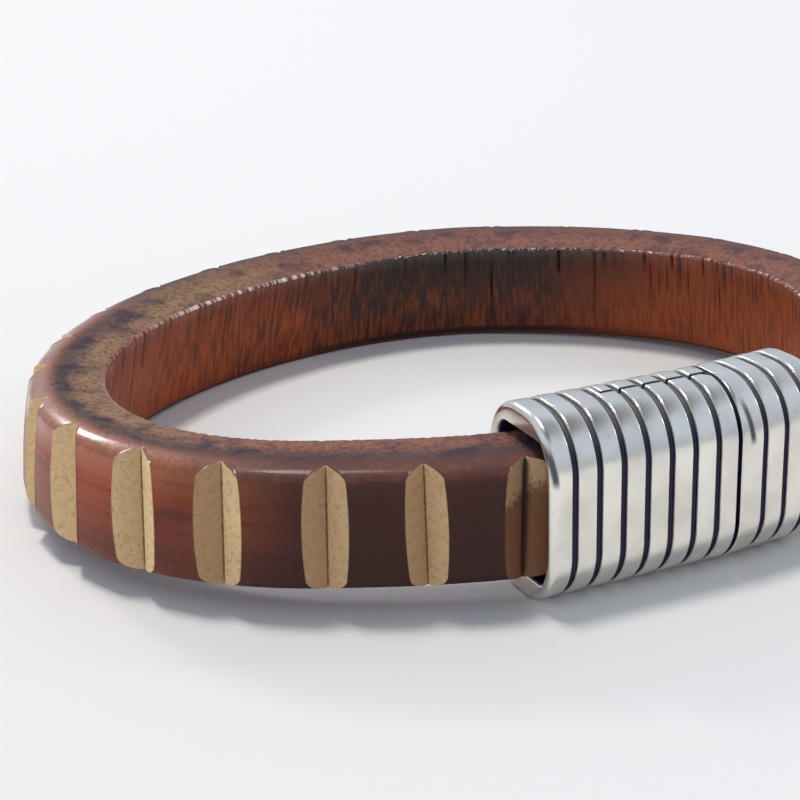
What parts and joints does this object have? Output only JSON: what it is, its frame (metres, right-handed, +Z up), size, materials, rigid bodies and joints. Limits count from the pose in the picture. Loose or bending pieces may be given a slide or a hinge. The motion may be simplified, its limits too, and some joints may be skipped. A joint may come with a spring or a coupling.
{
  "type": "leather bracelet",
  "caption": "Thick leather strap bracelet with V cuts across its outer face and a ribbed silver lap clasp.",
  "frame": {"origin": "middle of the bounding box on the surface that the bracelet lies on", "axes": "+Z up out of the wrist opening, +X along the loop's long way, -Y towards the clasp's side"},
  "size_m": [0.0758, 0.0682, 0.0154],
  "materials": {
    "leather": "satin dyed face with rough edges and raw cuts",
    "silver": "antique silver plate, polished ribs and blackened grooves"
  },
  "bodies": {
    "root": {"strap": "leather", "clasp_socket": "silver", "clasp_tongue": "silver"}
  },
  "joints": []
}
